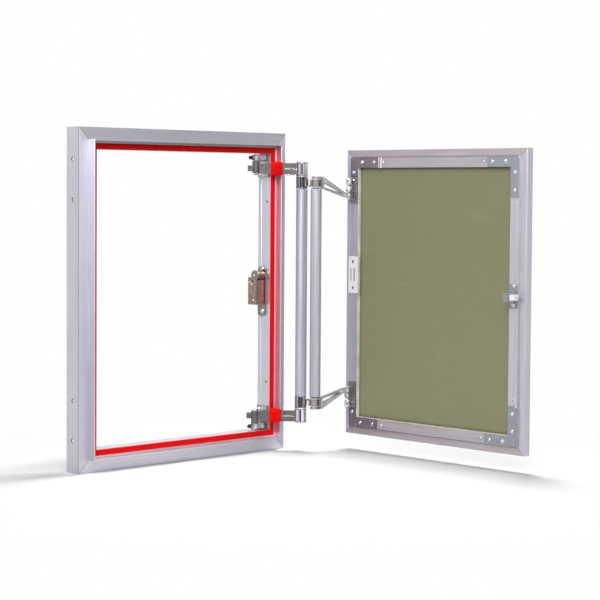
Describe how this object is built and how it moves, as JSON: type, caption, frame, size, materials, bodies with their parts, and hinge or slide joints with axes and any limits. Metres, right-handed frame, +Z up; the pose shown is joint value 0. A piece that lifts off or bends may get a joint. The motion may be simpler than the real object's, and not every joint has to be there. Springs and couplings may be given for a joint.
{
  "type": "tile access panel",
  "caption": "Wall frame with a seal and a tray door for tiles, which a four-pivot double linkage swings clear of the opening.",
  "frame": {"origin": "middle of the frame's bottom face: the middle of its width and of its outer walls' depth", "axes": "+X across the frame towards the hinge side, +Y into the wall, +Z up; the door is drawn fully open, at 88.5 degrees"},
  "size_m": [0.5964, 0.5593, 0.6],
  "materials": {
    "aluminium": "extruded, with fine lengthwise brushing",
    "seal_rubber": "satin red",
    "bumper_rubber": "satin bright red",
    "cast_metal": "satin, with softly rounded edges",
    "bright_steel": "bright plated",
    "plate_steel": "cold-rolled, lightly brushed",
    "black_screw": "black oxide",
    "lock_steel": "dull nickel, slightly brown",
    "black_bush": "black",
    "white_nylon": "white, satin",
    "board": "green-grey facing paper of moisture-resistant plasterboard"
  },
  "bodies": {
    "frame": {"frame_stile_left": "aluminium", "frame_stile_right": "aluminium", "frame_rail_top": "aluminium", "frame_rail_bottom": "aluminium", "corner_cleats": "aluminium", "gasket_left": "seal_rubber", "gasket_right": "seal_rubber", "gasket_top": "seal_rubber", "gasket_bottom": "seal_rubber", "frame_bracket_upper": "cast_metal", "frame_bracket_lower": "cast_metal", "bracket_screws": "bright_steel", "clamp_screws": "black_screw", "frame_pin_upper": "bright_steel", "frame_pin_lower": "bright_steel", "lock_plate": "lock_steel", "lock_case": "lock_steel", "lock_screws": "bright_steel", "lock_axle": "bright_steel", "keeper": "plate_steel", "keeper_screws": "bright_steel"},
    "inner_arms": {"inner_arm_upper": "cast_metal", "inner_arm_lower": "cast_metal", "bumper_upper": "bumper_rubber", "bumper_lower": "bumper_rubber", "inner_tube": "aluminium", "hinge_shaft_upper": "bright_steel", "hinge_shaft_lower": "bright_steel"},
    "mid_links": {"mid_link_upper": "cast_metal", "mid_link_lower": "cast_metal", "friction_bush_upper": "black_bush", "friction_bush_lower": "black_bush", "nylon_washers": "white_nylon"},
    "outer_links": {"outer_tube": "aluminium", "outer_link_upper": "cast_metal", "outer_link_lower": "cast_metal", "outer_shaft_upper": "bright_steel", "outer_shaft_lower": "bright_steel"},
    "door": {"door_stile_hinge": "aluminium", "door_stile_free": "aluminium", "door_rail_top": "aluminium", "door_rail_bottom": "aluminium", "door_board": "board", "corner_plate_hinge_top": "plate_steel", "corner_plate_hinge_bottom": "plate_steel", "corner_plate_free_top": "plate_steel", "corner_plate_free_bottom": "plate_steel", "corner_rivets": "bright_steel", "door_bracket_upper": "cast_metal", "door_bracket_lower": "cast_metal", "door_bracket_screws": "black_screw", "door_pin_upper": "bright_steel", "door_pin_lower": "bright_steel", "strike_plate": "white_nylon", "strike_screws": "black_screw", "latch_bracket": "plate_steel", "latch_screws": "bright_steel", "latch_axle": "bright_steel"},
    "lock_roller": {"lock_roller": "lock_steel"},
    "latch_roller": {"latch_roller": "white_nylon"}
  },
  "joints": [
    {"name": "arm_swing", "type": "hinge", "parent": "frame", "child": "inner_arms", "pos_m": [0.1855, -0.0042, 0.3], "axis": [0, 0, 1], "range_deg": [-138, 0]},
    {"name": "link_fold", "type": "hinge", "parent": "inner_arms", "child": "mid_links", "pos_m": [0.24612, -0.06632, 0.3], "axis": [0, 0, 1], "range_deg": [0, 232.6]},
    {"name": "outer_fold", "type": "hinge", "parent": "mid_links", "child": "outer_links", "pos_m": [0.25239, -0.0977, 0.3], "axis": [0, 0, 1], "range_deg": [-75.5, 0]},
    {"name": "door_swing", "type": "hinge", "parent": "outer_links", "child": "door", "pos_m": [0.31015, -0.12751, 0.3], "axis": [0, 0, 1], "range_deg": [-107.7, 0]},
    {"name": "lock_roller_spin", "type": "hinge", "parent": "frame", "child": "lock_roller", "pos_m": [0.1985, 0, 0.332], "axis": [1, 0, 0], "continuous": true},
    {"name": "latch_roller_spin", "type": "hinge", "parent": "door", "child": "latch_roller", "pos_m": [0.30728, -0.52358, 0.3086], "axis": [0, 0, 1], "continuous": true}
  ],
  "couplings": [
    {"joint": "link_fold", "follows": "arm_swing", "ratio": -1.6853},
    {"joint": "outer_fold", "follows": "arm_swing", "ratio": 0.54673},
    {"joint": "door_swing", "follows": "arm_swing", "ratio": 0.77984}
  ]
}
